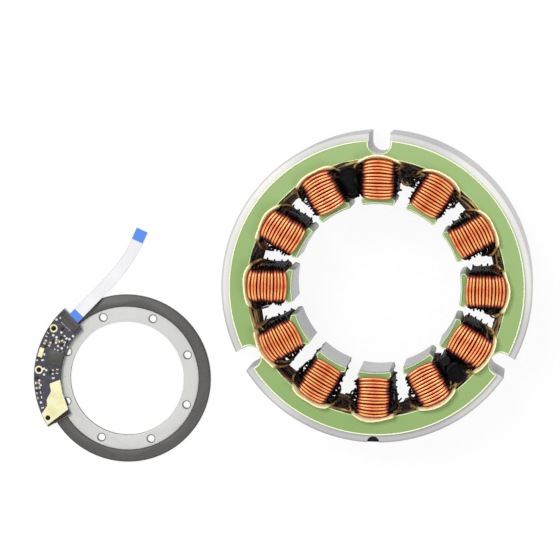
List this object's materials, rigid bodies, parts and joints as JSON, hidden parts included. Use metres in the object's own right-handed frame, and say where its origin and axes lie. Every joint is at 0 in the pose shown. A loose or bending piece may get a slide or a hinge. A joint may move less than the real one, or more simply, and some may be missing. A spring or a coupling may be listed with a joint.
{
  "type": "frameless brushless motor",
  "caption": "Wound frameless motor stator with green coated core and copper coils, with its flat encoder ring, arc-shaped read head and short flat cable.",
  "frame": {"origin": "the stator's axis at the rear face of its steel core", "axes": "+Z along the stator's axis towards its front face, +X to the right with the encoder ring on the -X side, +Y to the back through one location notch"},
  "size_m": [0.1651, 0.1129, 0.0351],
  "materials": {
    "steel": "bare electrical steel, ground outside",
    "green_coat": "satin green insulating coat",
    "paper": "cream insulating paper",
    "copper": "enamelled copper wire",
    "dark_sleeve": "dark shrunk sleeve",
    "hub_metal": "turned bright metal",
    "pole_band": "dark grey bonded magnet",
    "board": "dark blue solder mask",
    "cream": "cream moulded plastic",
    "dark_plastic": "dark moulded plastic",
    "tan_ceramic": "ceramic with tinned ends",
    "contact_metal": "gold flashed contacts",
    "white_film": "white cable film",
    "blue_film": "blue stiffener film"
  },
  "bodies": {
    "stator_set": {"lamination_core": "steel", "front_coat": "green_coat", "rear_coat": "green_coat", "slot_coat": "green_coat", "slot_liners": "paper", "front_collars": "paper", "rear_collars": "paper", "coil_01": "copper", "coil_02": "copper", "coil_03": "copper", "coil_04": "copper", "coil_05": "copper", "coil_06": "copper", "coil_07": "copper", "coil_08": "copper", "coil_09": "copper", "coil_10": "copper", "coil_11": "copper", "coil_12": "copper", "link_sleeves": "paper", "joint_sleeves": "dark_sleeve", "neutral_sleeves": "dark_sleeve", "readhead_board": "board", "board_eyelets": "cream", "sensor_chip": "dark_plastic", "board_capacitors": "tan_ceramic", "board_resistors": "dark_plastic", "crystal_can": "cream", "cable_connector": "dark_plastic", "cable_stiffener": "blue_film", "flat_cable": "white_film", "cable_tip": "blue_film", "plug_housing": "cream", "edge_contacts": "contact_metal"},
    "encoder_ring": {"ring_hub": "hub_metal", "pole_ring": "pole_band"},
    "flip_lock": {"cable_lock": "dark_plastic"}
  },
  "joints": [
    {"name": "ring_spin", "type": "hinge", "parent": "stator_set", "child": "encoder_ring", "pos_m": [-0.084, -0.035, -0.00351], "axis": [0, 0, 1], "continuous": true},
    {"name": "lock_flip", "type": "hinge", "parent": "stator_set", "child": "flip_lock", "pos_m": [-0.10405, -0.01758, -0.00038], "axis": [0.7314, -0.682, 0], "range_deg": [0, 90]}
  ]
}
